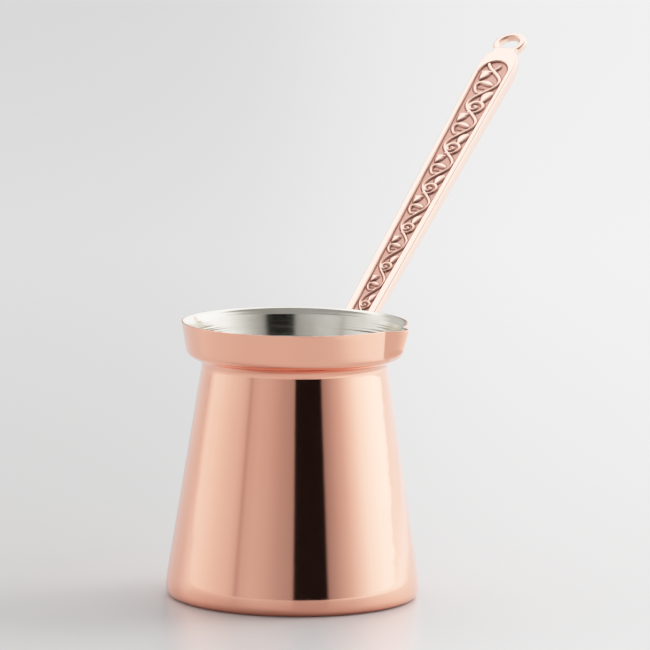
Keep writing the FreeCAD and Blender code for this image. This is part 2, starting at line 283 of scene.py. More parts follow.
def capped_skin(name, rings, first, last):
    """A closed skin over rings of points, drawn together to a point at each end."""
    rows, columns = rings.shape[:2]
    vertices = np.concatenate((rings.reshape(-1, 3), [first, last]))
    faces = grid_faces(rows, columns)
    first_pole = rows * columns
    last_row = first_pole - columns
    for column in range(columns):
        after = (column + 1) % columns
        faces.append((first_pole, after, column))
        faces.append((first_pole + 1, last_row + column, last_row + after))
    return new_mesh_object(name, vertices, faces)


def smooth_step(low, high, value):
    share = np.clip((value - low) / (high - low), 0, 1)
    return share * share * (3 - 2 * share)


def around_the_pot():
    """Angles about +Z, in degrees from the spout, closer together at the spout."""
    fine = np.arange(-SPOUT_FAN, SPOUT_FAN, FAN_STEP)
    coarse = np.arange(SPOUT_FAN, 360 - SPOUT_FAN, ROUND_STEP)
    return np.concatenate((fine, coarse))


def pressed_spout(radius, height, angle):
    """Radius of the wall at an angle, after the V of the spout is pressed out."""
    rise = smooth_step(SPOUT_LOW_HEIGHT - SPOUT_FADE_BELOW, SPOUT_MID_HEIGHT, height)
    lowest = SPOUT_LOW_REACH - SPOUT_SUNK
    reach = lowest + (SPOUT_MID_REACH - lowest) * rise
    share = np.clip((height - SPOUT_MID_HEIGHT) / (HEIGHT - SPOUT_MID_HEIGHT), 0, 1)
    reach = reach + (SPOUT_REACH - SPOUT_MID_REACH) * share
    surface = collar_radius_at(height)
    tip = surface + reach - SPOUT_SLANT * (surface - radius)
    side = np.sqrt(np.sin(angle) ** 2 + SPOUT_TIP_SOFTNESS ** 2) - SPOUT_TIP_SOFTNESS
    flank = tip / np.maximum(np.cos(angle) + SPOUT_SLOPE * side, 0.2)
    flank = np.where(np.cos(angle) > 0.5, flank, 0)
    gap = radius - flank
    pressed = (radius + flank + np.sqrt(gap ** 2 + SPOUT_CREASE_SOFTNESS ** 2)) / 2
    blend = smooth_step(-SPOUT_BLEND, 0.0, flank - radius)
    blend = blend * (height > NECK_HEIGHT - SPOUT_FOOT_BELOW_NECK)
    return radius + (pressed - radius) * blend


def turned_piece(name, outline):
    """A closed skin turned about +Z from an outline that starts and ends on the axis."""
    angles = np.radians(around_the_pot())
    rows = outline[1:-1]
    radius = rows[:, 0][:, None]
    height = rows[:, 1][:, None] + 0 * angles[None, :]
    radius = pressed_spout(radius, height, angles[None, :])
    angles = angles + math.radians(SPOUT_TURN)
    rings = np.stack((radius * np.cos(angles), radius * np.sin(angles), height), axis=-1)
    return capped_skin(name, rings, (0, 0, outline[0][1]), (0, 0, outline[-1][1]))


def shell_piece():
    """The copper sheet; its inside lies a hair under the tin's outside."""
    rim = [(RIM_RADIUS, HEIGHT, LIP_ROUND), (RIM_RADIUS - LIP_EDGE, HEIGHT, 0)]
    outside = rounded_outline(wall_corners(0.0) + rim, OUTSIDE_STEP)
    inset = WALL - SKIN_GAP
    lip = [bevel_corner(inset), (RIM_RADIUS - LIP_EDGE + SKIN_GAP, HEIGHT, 0)]
    inside = rounded_outline(wall_corners(inset) + lip, HIDDEN_STEP)
    return turned_piece("pot_shell_spun", np.concatenate((outside, inside[::-1])))


def tin_piece():
    """The tin coat on the sheet's inside and over the bevelled lip."""
    inset = WALL + TIN
    edge = [bevel_corner(inset), (RIM_RADIUS - LIP_EDGE - TIN, HEIGHT, 0)]
    inside = rounded_outline(wall_corners(inset) + edge, TIN_STEP)
    lip = [bevel_corner(WALL), (RIM_RADIUS - LIP_EDGE, HEIGHT, 0)]
    outside = rounded_outline(wall_corners(WALL) + lip, HIDDEN_STEP)
    return turned_piece("tin_lining_wiped", np.concatenate((outside, inside[::-1])))


# ---------------------------------------------------------------- the vine

def vine_scale(distance):
    """Half the panel's width at a distance along the arm."""
    share = (distance - PANEL_START) / (PANEL_END - PANEL_START)
    return (PANEL_LOW_WIDTH + (PANEL_HIGH_WIDTH - PANEL_LOW_WIDTH) * share) / 2


def vine_place(turns):
    """Distance along the arm of the scroll at this many periods from the first."""
    return VINE_FIRST + VINE_PITCH * turns + VINE_PITCH_GROWTH * turns ** 2


def vine_turns(distance):
    """How many periods from the first scroll a distance along the arm is."""
    root = VINE_PITCH ** 2 + 4 * VINE_PITCH_GROWTH * (distance - VINE_FIRST)
    return (np.sqrt(np.maximum(root, 0)) - VINE_PITCH) / (2 * VINE_PITCH_GROWTH)


def stroke_reach(across, along, path):
    """How far each point lies from a brush stroke's middle, 1 on the stroke's edge.

    The path is a list of (across, along, half width) stations, in the points' units.
    """
    reach = np.full(across.shape, 1e9)
    for (x0, y0, w0), (x1, y1, w1) in zip(path, path[1:]):
        dx, dy = x1 - x0, y1 - y0
        length = dx * dx + dy * dy + 1e-12
        share = np.clip(((across - x0) * dx + (along - y0) * dy) / length, 0, 1)
        away = np.hypot(across - x0 - share * dx, along - y0 - share * dy)
        reach = np.minimum(reach, away / (w0 + (w1 - w0) * share))
    return reach


def rounded_top(reach, rise, fullness=0.6):
    """Height of a raised stroke: 0 from its edge outwards and rise along its middle."""
    return rise * np.clip(1 - np.clip(reach, 0, 1) ** 2.4, 0, 1) ** fullness


def smooth_stroke(stations, pieces=6):
    """Stations of a smooth curve through the given ones, by Catmull and Rom's rule."""
    points = np.array([stations[0], *stations, stations[-1]], float)
    curve = []
    for before, start, end, after in zip(points, points[1:], points[2:], points[3:]):
        for share in np.arange(pieces) / pieces:
            pull = share * (end - before) / 2 + share ** 2 * (
                before - 2.5 * start + 2 * end - after / 2
            ) + share ** 3 * (1.5 * (start - end) + (after - before) / 2)
            curve.append(tuple(start + pull))
    curve.append(tuple(points[-1]))
    return curve


def coil_stroke():
    """The tight scroll: a spiral that turns inwards anticlockwise, with a broad back."""
    stroke = []
    for share in np.linspace(0, 1, 44):
        radius = 0.72 - 0.56 * share ** 1.25
        angle = math.radians(-112) + math.tau * 1.30 * share
        width = 0.125 + 0.10 * math.exp(-((share - 0.52) / 0.17) ** 2)
        stroke.append((0.22 + radius * math.cos(angle), radius * math.sin(angle), width))
    return stroke


# The vine's motifs, in units of half the panel's width about the scroll's middle:
# (across, along, half width) of each brush stroke.
COIL = coil_stroke()
COIL_EYE = [(0.20, 0.02, 0.15), (0.24, 0.06, 0.15)]
COIL_LEAF = smooth_stroke([
    (0.58, 0.50, 0.08), (0.62, 0.76, 0.24), (0.64, 1.02, 0.36),
    (0.70, 1.26, 0.42), (0.82, 1.46, 0.34), (0.92, 1.64, 0.14),
])
RING = smooth_stroke([
    (0.44, -0.62, 0.10), (0.18, -0.76, 0.11), (-0.12, -0.76, 0.11), (-0.38, -0.52, 0.12),
    (-0.54, -0.10, 0.13), (-0.46, 0.22, 0.15), (-0.22, 0.38, 0.19), (0.08, 0.36, 0.29),
    (0.38, 0.22, 0.25), (0.68, 0.04, 0.08),
])
RING_LENS = smooth_stroke([(-0.26, -0.20, 0.07), (-0.06, -0.24, 0.11), (0.16, -0.30, 0.05)])
RING_LEAF = smooth_stroke([
    (-0.46, 0.74, 0.08), (-0.38, 0.98, 0.24), (-0.30, 1.22, 0.36), (-0.26, 1.38, 0.36),
])
RING_LEAF_EDGE = smooth_stroke([(-0.52, 1.50, 0.14), (-0.26, 1.52, 0.20), (0.02, 1.50, 0.14)])
TENDRIL = smooth_stroke([
    (0.14, -0.72, 0.10), (0.28, -0.52, 0.12), (0.42, -0.30, 0.14), (0.46, -0.14, 0.11),
])


def coil_height(across, along, rise):
    """The tight scroll with the bead at its end and the leaf above it."""
    coil = rounded_top(stroke_reach(across, along, COIL), rise)
    bead = rounded_top(stroke_reach(across, along, COIL_EYE), rise * 0.9)
    leaf = stroke_reach(across, along, COIL_LEAF)
    leaf = rounded_top(leaf, rise * LEAF_RISE, LEAF_FULLNESS)
    return np.maximum(np.maximum(coil, bead), leaf)


def ring_height(across, along, rise):
    """The open loop with the low lens inside it and the broad leaf above it."""
    ring = rounded_top(stroke_reach(across, along, RING), rise)
    lens = rounded_top(stroke_reach(across, along, RING_LENS), rise * 0.45)
    leaf = stroke_reach(across, along, RING_LEAF)
    leaf = np.minimum(leaf, stroke_reach(across, along, RING_LEAF_EDGE))
    leaf = rounded_top(leaf, rise * LEAF_RISE, LEAF_FULLNESS)
    return np.maximum(np.maximum(ring, lens), leaf)


def tendril_height(across, along, rise):
    """The short shoot beside the end of the stem."""
    return rounded_top(stroke_reach(across, along, TENDRIL), rise)


def vine_height(across, along):
    """Height of the vine above the panel's floor at points of the arm's face."""
    half = vine_scale(along)
    phase = math.tau * (vine_turns(along) - STEM_LAG)
    wave = (STEM_MIDDLE - STEM_SWING * np.cos(phase)) * half
    slope = STEM_SWING * half * math.tau / VINE_PITCH * np.sin(phase)
    away = np.abs(across - wave) / np.sqrt(1 + slope ** 2)
    rise = PANEL_DEPTH * VINE_RISE
    height = rounded_top(away / (STEM_HALF_WIDTH * half), rise)
    motifs = [coil_height, ring_height] * (MOTIFS // 2) + [tendril_height]
    for number, motif in enumerate(motifs):
        place = vine_place(number / 2)
        scale = MOTIF_SCALE * vine_scale(place)
        near = np.abs(along - place) < MOTIF_REACH * scale
        local_across = across[near] / scale + MOTIF_SHIFT
        local_along = (along[near] - place) / scale
        height[near] = np.maximum(height[near], motif(local_across, local_along, rise))
    return height


def arched(distance, tall):
    """Share of the panel's width at a distance from its end, which is an arch so tall."""
    share = 1 - np.clip(distance / tall, 0, 1)
    return np.sqrt(np.clip(1 - share ** 2, 0, 1))


def face_height(across, along):
    """Height of the arm's upper face, 0 on its flat border and below 0 in the panel."""
    half = vine_scale(along)
    arch_half = half * arched(PANEL_END - along, PANEL_ARCH * half)
    foot_half = half * arched(along - (PANEL_START - PANEL_FOOT), half)
    room = np.minimum(arch_half, foot_half) - np.abs(across)
    floor = -PANEL_DEPTH * smooth_step(0.0, PANEL_WALL, room)
    raised = vine_height(across, along) * smooth_step(*VINE_EDGE_FADE, room)
    return np.minimum(floor + raised, 0.0)


# ---------------------------------------------------------------- handle

def arm_half_width(distance):
    """Half the arm's width: a slow taper, rounded shoulders and a narrow waist."""
    share = np.clip(distance / ARM_LENGTH, 0, 1)
    wide = (ARM_LOW_WIDTH + (ARM_HIGH_WIDTH - ARM_LOW_WIDTH) * share) / 2
    fall = np.clip((distance - SHOULDER_START) / (WAIST_DISTANCE - SHOULDER_START), 0, 1)
    drop = 1 - np.sqrt(np.clip(1 - fall ** SHOULDER_POWER, 0, 1))
    return wide + (WAIST_WIDTH / 2 - wide) * drop


def arm_extra_thickness(distance):
    """How much the back of the arm stands further out as it rises, up to the waist."""
    share = np.clip(distance / ARM_LENGTH, 0, 1)
    kept = 1 - smooth_step(SHOULDER_START, WAIST_DISTANCE, distance)
    return ARM_BACK_GAIN * share ** ARM_BACK_POWER * kept


def bar_section():
    """The bar's section, as (side, inward, above) rows.

    A point lies at side * half width - inward across the arm, and above its middle.
    """
    edge = ARM_EDGE_ROUND
    rows = [(share, share * edge, ARM_THICK / 2) for share in np.linspace(-1, 1, FACE_COLUMNS)]
    corners = ((1, 1, 90, 0), (1, -1, 0, -90), (-1, -1, -90, -180), (-1, 1, 180, 90))
    for number, (side, level, start, end) in enumerate(corners):
        angles = np.radians(np.linspace(start, end, 6))
        if number == 0:
            angles = angles[1:]
        if number == 3:
            angles = angles[:-1]
        for angle in angles:
            inward = side * edge - edge * math.cos(angle)
            rows.append((side, inward, level * (ARM_THICK / 2 - edge) + edge * math.sin(angle)))
        if number == 1:
            for share in np.linspace(1, -1, 12)[1:-1]:
                rows.append((share, share * edge, -ARM_THICK / 2))
    return np.array(rows)


def handle_path():
    """Stations down the handle: place and face direction of each section's middle."""
    tilt = math.atan2(ALONG.z, ALONG.y)
    lean = cone_lean()
    elbow = EYE_CENTRE - ALONG * EYE_DISTANCE
    turn = math.pi / 2 + lean - tilt
    setback = BEND_RADIUS * math.tan(turn / 2)
    stations = []
    down = Vector((0, math.sin(lean), -math.cos(lean)))
    run = (elbow.z - ROOT_END) / math.cos(lean)
    inward = Vector((0, -math.cos(lean), -math.sin(lean)))
    for distance in np.arange(run, setback, -ROOT_STEP):
        stations.append((elbow + down * distance, inward, -distance))
    centre = elbow + ALONG * setback - FACE_NORMAL * BEND_RADIUS
    for share in np.linspace(0, 1, BEND_STATIONS):
        angle = turn * (1 - share)
        spoke = Matrix.Rotation(angle, 3, "X") @ FACE_NORMAL
        stations.append((centre + spoke * BEND_RADIUS, spoke, setback * (2 * share - 1)))
    last = EYE_DISTANCE - EYE_HOLE_RADIUS - ARM_GAP
    for distance in np.arange(setback + ARM_GAP, last, ARM_STEP):
        stations.append((elbow + ALONG * distance, FACE_NORMAL, distance))
    return stations


def bar_object():
    """The bent bar of the handle with its ornamented face, closed at both ends."""
    stations = handle_path()
    distance = np.array([station[2] for station in stations])[:, None]
    place = np.array([station[0] for station in stations])[:, None, :]
    normal = np.array([station[1] for station in stations])[:, None, :]
    section = bar_section()
    across = section[:, 0] * arm_half_width(distance) - section[:, 1]
    above = section[:, 2] - np.where(section[:, 2] < 0, arm_extra_thickness(distance), 0)
    face = across[:, :FACE_COLUMNS]
    relief = face_height(face, distance + 0 * face)
    above[:, :FACE_COLUMNS] += np.where(distance > RELIEF_START, relief, 0)
    rings = place + normal * above[:, :, None]
    rings[:, :, 0] += across
    columns = len(section)
    faces = grid_faces(len(rings), columns)
    faces.append(tuple(range(columns))[::-1])
    last = (len(rings) - 1) * columns
    faces.append(tuple(range(last, last + columns)))
    return new_mesh_object("bar", rings.reshape(-1, 3), faces)


def plate_object():
    """The rivet plate: a rounded shield with a soft edge, lying on the cone."""
    middle = (PLATE_TOP + PLATE_BOTTOM) / 2
    rows, columns = 24, 120
    vertices = []
    for layer in ("outer", "inner"):
        for row in range(rows + 1):
            reach = row / rows
            for column in range(columns):
                angle = math.tau * column / columns
                x, z = shield_point(angle, reach, middle)
                lift = plate_lift(reach) if layer == "outer" else 0.0
                vertices.append(on_the_cone(x, z, lift))
    count = (rows + 1) * columns
    faces = [face[::-1] for face in grid_faces(rows + 1, columns)]
    faces += [tuple(count + index for index in face[::-1]) for face in faces]
    outer_rim = rows * columns
    inner_rim = count + outer_rim
    for column in range(columns):
        after = (column + 1) % columns
        faces.append((outer_rim + column, outer_rim + after, inner_rim + after, inner_rim + column))
    return new_mesh_object("plate", vertices, faces)


def plate_lift(reach):
    """Height of the plate's outer face: level in the middle, rounded off at its edge."""
    fall = max(0.0, (reach - (1 - PLATE_EDGE)) / PLATE_EDGE)
    round_share = math.sqrt(max(1 - fall ** 2, 0))
    return PLATE_THICK * (PLATE_EDGE_SHARE + (1 - PLATE_EDGE_SHARE) * round_share)


def shield_point(angle, reach, middle):
    """A point of the shield outline, scaled towards its middle by reach."""
    tall = PLATE_TOP - middle
    across = math.cos(angle)
    up = math.sin(angle)
    power = PLATE_SQUARENESS
    radius = (abs(across) ** power + abs(up) ** power) ** (-1 / power)
    narrowing = 1 - PLATE_NARROWING * smooth_step(0.1, -1.1, up * radius)
    return (
        reach * radius * across * PLATE_HALF_WIDTH * narrowing,
        middle + reach * radius * up * tall,
    )


def on_the_cone(across, height, lift):
    """The point over the cone's surface at a sideways offset, lifted outwards."""
    radius = wall_radius_at(height) + lift
    turn = math.asin(across / radius)
    return (radius * math.sin(turn), radius * math.cos(turn), height)


def eye_object():
    """The hanging eye, a round ring with a squarish, soft-edged section."""
    ring_radius = (EYE_RADIUS + EYE_HOLE_RADIUS) / 2
    thick = (EYE_RADIUS - EYE_HOLE_RADIUS) / 2
    rows, columns = 112, 36
    vertices = []
    for row in range(rows):
        around = math.tau * row / rows
        spoke = Vector((math.cos(around), 0, 0)) + ALONG * math.sin(around)
        for column in range(columns):
            angle = math.tau * column / columns
            side, level = math.cos(angle), math.sin(angle)
            power = EYE_SQUARENESS
            square = (abs(side) ** power + abs(level) ** power) ** (-1 / power)
            offset = spoke * (ring_radius + thick * side * square)
            offset += FACE_NORMAL * (EYE_THICK / 2 * level * square)
            vertices.append(tuple(EYE_CENTRE + offset))
    faces = []
    for row in range(rows):
        after_row = (row + 1) % rows
        for column in range(columns):
            after = (column + 1) % columns
            faces.append((
                row * columns + column,
                after_row * columns + column,
                after_row * columns + after,
                row * columns + after,
            ))
    return new_mesh_object("eye", vertices, faces)


def fused(base, others):
    """One closed mesh from overlapping closed ones."""
    for other in others:
        modifier = base.modifiers.new("join", "BOOLEAN")
        modifier.operation = "UNION"
        modifier.solver = "EXACT"
        modifier.object = other
    graph = bpy.context.evaluated_depsgraph_get()
    mesh = bpy.data.meshes.new_from_object(base.evaluated_get(graph))
    base.modifiers.clear()
    base.data = mesh
    for other in others:
        bpy.data.objects.remove(other)
    return base


def handle_piece():
    """The casting in one mesh: bar, eye and plate."""
    handle = fused(bar_object(), [eye_object(), plate_object()])
    handle.name = "handle_casting"
    paint_depth(handle)
    return handle


def crevice_depth(across, along):
    """How far the face lies below the mean of its surroundings, in millimetres."""
    here = face_height(across, along)
    around = np.zeros(across.shape)
    turns = np.arange(8) * math.tau / 8
    for turn in turns:
        aside = CREVICE_REACH * math.cos(turn)
        onward = CREVICE_REACH * math.sin(turn)
        around += face_height(across + aside, along + onward)
    return around / len(turns) - here


def paint_depth(handle):
    """Store two shares per point: the depth, for the patina, and the crevices, for the painted shade
    in them.
    """
    mesh = handle.data
    points = np.empty(len(mesh.vertices) * 3)
    mesh.vertices.foreach_get("co", points)
    points = points.reshape(-1, 3) / MM
    offset = points - np.array(EYE_CENTRE)
    along = offset @ np.array(ALONG) + EYE_DISTANCE
    above = offset @ np.array(FACE_NORMAL)
    across = points[:, 0]
    inside = (along > RELIEF_START) & (along < RELIEF_END)
    inside &= above > ARM_THICK / 2 - RELIEF_DEEPEST
    inside &= np.abs(across) < vine_scale(along) + RELIEF_MARGIN
    depth = np.zeros(len(points))
    depth[inside] = np.clip((ARM_THICK / 2 - above[inside]) / PANEL_DEPTH, 0, 1)
    # Painted shade: a share for how far each point lies down in a crevice.
    crevice_shade = np.zeros(len(points))
    crevice_shade[inside] = np.clip(crevice_depth(across[inside], along[inside]) / CREVICE_FULL, 0, 1)
    for name, values in (("patina", depth), ("crevice_shade", crevice_shade)):
        layer = mesh.attributes.new(name, "FLOAT", "POINT")
        layer.data.foreach_set("value", values)


# ---------------------------------------------------------------- rivets

def rivet_piece(node):
    """A rivet turned about its own axis, which stands square on the cone's side."""
    low, high = (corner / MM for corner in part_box(node))
    centre = (low + high) / 2
    lean = cone_lean()
    around = math.atan2(centre.x, centre.y)
    level = math.cos(lean)
    out = Vector((math.sin(around) * level, math.cos(around) * level, math.sin(lean)))
    radius = wall_radius_at(centre.z)
    beyond = (math.hypot(centre.x, centre.y) - radius) * math.cos(lean)
    foot = centre - out * beyond
    side = Vector((math.cos(around), -math.sin(around), 0))
    up = out.cross(side)
    profile = dome(RIVET_TAIL_RADIUS, -WALL - TIN, -RIVET_TAIL_RISE)
    profile += dome(RIVET_HEAD_RADIUS, PLATE_THICK, RIVET_HEAD_RISE)[::-1]
    angles = [math.tau * column / RIVET_COLUMNS for column in range(RIVET_COLUMNS)]
    spokes = [side * math.cos(angle) + up * math.sin(angle) for angle in angles]
    rings = [[foot + out * lift + spoke * reach for spoke in spokes] for reach, lift in profile[1:-1]]
    ends = [foot + out * profile[index][1] for index in (0, -1)]
    return capped_skin(node + "_head", np.array(rings), *ends)


def dome(radius, level, rise):
    """Profile of a domed head from its top to its shank, as (reach, lift) pairs.

    A head with a rise below 0 is the tail inside the pot.
    """
    profile = []
    for share in np.linspace(0, 1, 14):
        angle = math.pi / 2 * share
        profile.append((radius * math.sin(angle), level + rise * math.cos(angle)))
    profile.append((radius * 0.98, level - math.copysign(0.12, rise)))
    profile.append((RIVET_RADIUS, level - math.copysign(0.15, rise)))
    return profile


# ---------------------------------------------------------------- materials

def new_material(name):
    """A metal; returns its material, nodes, links and shader."""
    material = bpy.data.materials.new(name)
    material.use_nodes = True
    nodes = material.node_tree.nodes
    shader = nodes["Principled BSDF"]
    shader.inputs["Metallic"].default_value = 1.0
    return material, nodes, material.node_tree.links, shader


def add_noise(nodes, links, scale, detail, stretch=None):
    """A noise in object space, in cycles per metre times any stretch; returns its value."""
    place = nodes.new("ShaderNodeTexCoord")
    noise = nodes.new("ShaderNodeTexNoise")
    noise.inputs["Scale"].default_value = scale
    noise.inputs["Detail"].default_value = detail
    if stretch is None:
        links.new(place.outputs["Object"], noise.inputs["Vector"])
    else:
        mapping = nodes.new("ShaderNodeMapping")
        mapping.inputs["Scale"].default_value = stretch
        links.new(place.outputs["Object"], mapping.inputs["Vector"])
        links.new(mapping.outputs["Vector"], noise.inputs["Vector"])
    return noise.outputs["Fac"]


def add_ramp(nodes, links, source, stops):
    ramp = nodes.new("ShaderNodeValToRGB")
    elements = ramp.color_ramp.elements
    while len(elements) < len(stops):
        elements.new(0.5)
    for element, (position, colour) in zip(elements, stops):
        element.position = position
        element.color = colour
    links.new(source, ramp.inputs["Fac"])
    return ramp.outputs["Color"]


def add_range(nodes, links, source, low, high):
    spread = nodes.new("ShaderNodeMapRange")
    spread.inputs["To Min"].default_value = low
    spread.inputs["To Max"].default_value = high
    links.new(source, spread.inputs["Value"])
    return spread.outputs["Result"]


def add_mix(nodes, links, share, colour):
    """A mix that starts from a colour; its input B, what it changes to, is still to be set."""
    mix = nodes.new("ShaderNodeMix")
    mix.data_type = "RGBA"
    links.new(share, mix.inputs["Factor"])
    links.new(colour, mix.inputs["A"])
    return mix


def add_bump(nodes, links, shader, source, strength, height):
    bump = nodes.new("ShaderNodeBump")
    bump.inputs["Strength"].default_value = strength
    bump.inputs["Distance"].default_value = height
    links.new(source, bump.inputs["Height"])
    links.new(bump.outputs["Normal"], shader.inputs["Normal"])


def polished_copper():
    """Bright spun copper with a slight drift of hue, gloss and flatness."""
    material, nodes, links, shader = new_material("polished_copper")
    tint = add_noise(nodes, links, 22.0, 3.0)
    colour = add_ramp(nodes, links, tint, [
        (0.30, (0.92, 0.39, 0.275, 1)),
        (0.70, (0.92, 0.42, 0.305, 1)),
    ])
    links.new(colour, shader.inputs["Base Color"])
    smear = add_noise(nodes, links, 60.0, 4.0, (1, 1, 0.3))
    links.new(add_range(nodes, links, smear, 0.05, 0.10), shader.inputs["Roughness"])
    spin = add_noise(nodes, links, 30.0, 2.0, (0.6, 0.6, 2.5))
    add_bump(nodes, links, shader, spin, 0.25, 0.0004)
    return material


def wiped_tin():
    """Clouded tin with the fine level rings of the lathe."""
    material, nodes, links, shader = new_material("wiped_tin")
    cloud = add_noise(nodes, links, 90.0, 4.0)
    colour = add_ramp(nodes, links, cloud, [
        (0.25, (0.60, 0.565, 0.49, 1)),
        (0.75, (0.74, 0.705, 0.63, 1)),
    ])
    links.new(colour, shader.inputs["Base Color"])
    links.new(add_range(nodes, links, cloud, 0.11, 0.19), shader.inputs["Roughness"])
    rings = add_noise(nodes, links, 1.0, 2.0, (12, 12, 800))
    add_bump(nodes, links, shader, rings, 0.7, 0.00014)
    return material


def cast_copper():
    """Burnished copper that darkens with patina towards the panel's ground, with painted shade in its
    crevices.
    """
    material, nodes, links, shader = new_material("cast_copper")
    grain = add_noise(nodes, links, 700.0, 4.0)
    depth = nodes.new("ShaderNodeAttribute")
    depth.attribute_name = "patina"
    crevice_shade = nodes.new("ShaderNodeAttribute")
    crevice_shade.attribute_name = "crevice_shade"
    tarnish = nodes.new("ShaderNodeMath")
    tarnish.operation = "MULTIPLY_ADD"
    tarnish.inputs[1].default_value = 0.22
    links.new(grain, tarnish.inputs[0])
    links.new(depth.outputs["Fac"], tarnish.inputs[2])
    ground = add_ramp(nodes, links, tarnish.outputs["Value"], [
        (0.10, (0.95, 0.56, 0.44, 1)),
        (0.30, (0.90, 0.48, 0.38, 1)),
        (0.70, (0.49, 0.24, 0.195, 1)),
    ])
    # Painted shade: the crevices are darkened to a deep brown.
    blend = add_mix(nodes, links, crevice_shade.outputs["Fac"], ground)
    blend.inputs["B"].default_value = (0.22, 0.10, 0.07, 1)
    links.new(blend.outputs["Result"], shader.inputs["Base Color"])
    dull = add_range(nodes, links, tarnish.outputs["Value"], 0.24, 0.42)
    links.new(dull, shader.inputs["Roughness"])
    add_bump(nodes, links, shader, grain, 0.15, 0.0002)
    return material


# ---------------------------------------------------------------- studio

# The camera, in metres and radians. Right and ahead are as seen from it.
CAMERA_AZIMUTH = math.radians(25.0)
CAMERA_DISTANCE = 1.6731
CAMERA_HEIGHT = 0.3147
CAMERA_PITCH = 0.13211
CAMERA_YAW = 0.00598
CAMERA_ROLL = 0.01149
CAMERA_LENS = 277.0
SENSOR_WIDTH = 36.0


def add_camera():
    """The camera stands in front, an azimuth round towards the spout, looking a little down."""
    data = bpy.data.cameras.new("camera")
    data.lens = CAMERA_LENS
    data.sensor_width = SENSOR_WIDTH
    data.clip_start = 0.05
    data.clip_end = 60.0
    camera = bpy.data.objects.new("camera", data)
    turn = Matrix.Rotation(CAMERA_AZIMUTH, 3, "Z")
    ahead = Vector((
        math.sin(CAMERA_YAW) * math.cos(CAMERA_PITCH),
        math.cos(CAMERA_YAW) * math.cos(CAMERA_PITCH),
        -math.sin(CAMERA_PITCH),
    ))
    level = Vector((math.cos(CAMERA_YAW), -math.sin(CAMERA_YAW), 0))
    upright = level.cross(ahead)
    right = level * math.cos(CAMERA_ROLL) + upright * math.sin(CAMERA_ROLL)
    up = upright * math.cos(CAMERA_ROLL) - level * math.sin(CAMERA_ROLL)
    columns = Matrix((turn @ right, turn @ up, turn @ -ahead)).transposed()
    place = turn @ Vector((0, -CAMERA_DISTANCE, CAMERA_HEIGHT))
    camera.matrix_world = Matrix.Translation(place) @ columns.to_4x4()
    bpy.context.scene.collection.objects.link(camera)
    bpy.context.scene.camera = camera


def plain_material(name, colour, roughness):
    material = bpy.data.materials.new(name)
    material.use_nodes = True
    shader = material.node_tree.nodes["Principled BSDF"]
    shader.inputs["Base Color"].default_value = (*colour, 1)
    shader.inputs["Roughness"].default_value = roughness
    return material


def add_fade(nodes, links, source, span, levels):
    """A soft change from one level to another while the source crosses a span."""
    fade = nodes.new("ShaderNodeMapRange")
    fade.interpolation_type = "SMOOTHSTEP"
    fade.inputs["From Min"].default_value = span[0]
    fade.inputs["From Max"].default_value = span[1]
    fade.inputs["To Min"].default_value = levels[0]
    fade.inputs["To Max"].default_value = levels[1]
    links.new(source, fade.inputs["Value"])
    return fade.outputs["Result"]


# The floor and the pool of light painted on it as a glow, in metres: where the painted pool
# fades in and out to the right, and where it fades out behind the pot and in front of it.
FLOOR_RADIUS = 9.0
# The paper's colour near the pot and far from it; the paler far colour is painted light.
FLOOR_NEAR = (0.65, 0.64, 0.635)
FLOOR_FAR = (0.86, 0.86, 0.86)
FLOOR_ROUGHNESS = 0.3
# Strength of the glow of the painted pool of light.
PAINTED_POOL_GLOW = 0.6
POOL_NEAR_SIDE = (0.125, 0.25)
POOL_FAR_SIDE = (0.5, 1.4)
POOL_BEHIND = (0.15, 0.6)
POOL_BEFORE = (-0.8, -0.2)


def add_floor():
    """A wide sheet of pale paper, painted paler further away, with a pool of light painted on it as a
    glow at the right.
    """
    radius, count = FLOOR_RADIUS / MM, 96
    angles = [math.tau * index / count for index in range(count)]
    rim = [(radius * math.cos(angle), radius * math.sin(angle), 0) for angle in angles]
    floor = new_mesh_object("floor", rim, [tuple(range(count))])
    paper = plain_material("pale_paper", FLOOR_NEAR, FLOOR_ROUGHNESS)
    nodes, links = paper.node_tree.nodes, paper.node_tree.links
    shader = nodes["Principled BSDF"]
    place = nodes.new("ShaderNodeTexCoord")
    reach = nodes.new("ShaderNodeVectorMath")
    reach.operation = "LENGTH"
    links.new(place.outputs["Object"], reach.inputs[0])
    # Painted light: the paper is painted paler further from the pot.
    stops = [(0.1, (*FLOOR_NEAR, 1)), (1.0, (*FLOOR_FAR, 1))]
    shade = add_ramp(nodes, links, reach.outputs["Value"], stops)
    links.new(shade, shader.inputs["Base Color"])
    # Painted light: the paper itself glows in a pool at the right.
    glow = add_painted_light_pool(nodes, links, place.outputs["Object"])
    links.new(glow, shader.inputs["Emission Strength"])
    floor.data.materials.append(paper)


def add_painted_light_pool(nodes, links, place):
    """Glow of the painted pool of light at a place, which the camera's azimuth turns."""
    sides = split_turned(nodes, links, place, -CAMERA_AZIMUTH)
    glow = add_fade(nodes, links, sides["X"], POOL_NEAR_SIDE, (0, PAINTED_POOL_GLOW))
    edges = [
        (sides["X"], POOL_FAR_SIDE, (1, 0)),
        (sides["Y"], POOL_BEHIND, (1, 0)),
        (sides["Y"], POOL_BEFORE, (0, 1)),
    ]
    for source, span, levels in edges:
        product = nodes.new("ShaderNodeMath")
        product.operation = "MULTIPLY"
        links.new(glow, product.inputs[0])
        links.new(add_fade(nodes, links, source, span, levels), product.inputs[1])
        glow = product.outputs["Value"]
    return glow


def split_turned(nodes, links, source, angle):
    """The X, Y and Z outputs of a vector turned about +Z."""
    turn = nodes.new("ShaderNodeVectorRotate")
    turn.rotation_type = "Z_AXIS"
    turn.inputs["Angle"].default_value = angle
    links.new(source, turn.inputs["Vector"])
    split = nodes.new("ShaderNodeSeparateXYZ")
    links.new(turn.outputs["Vector"], split.inputs["Vector"])
    return split.outputs


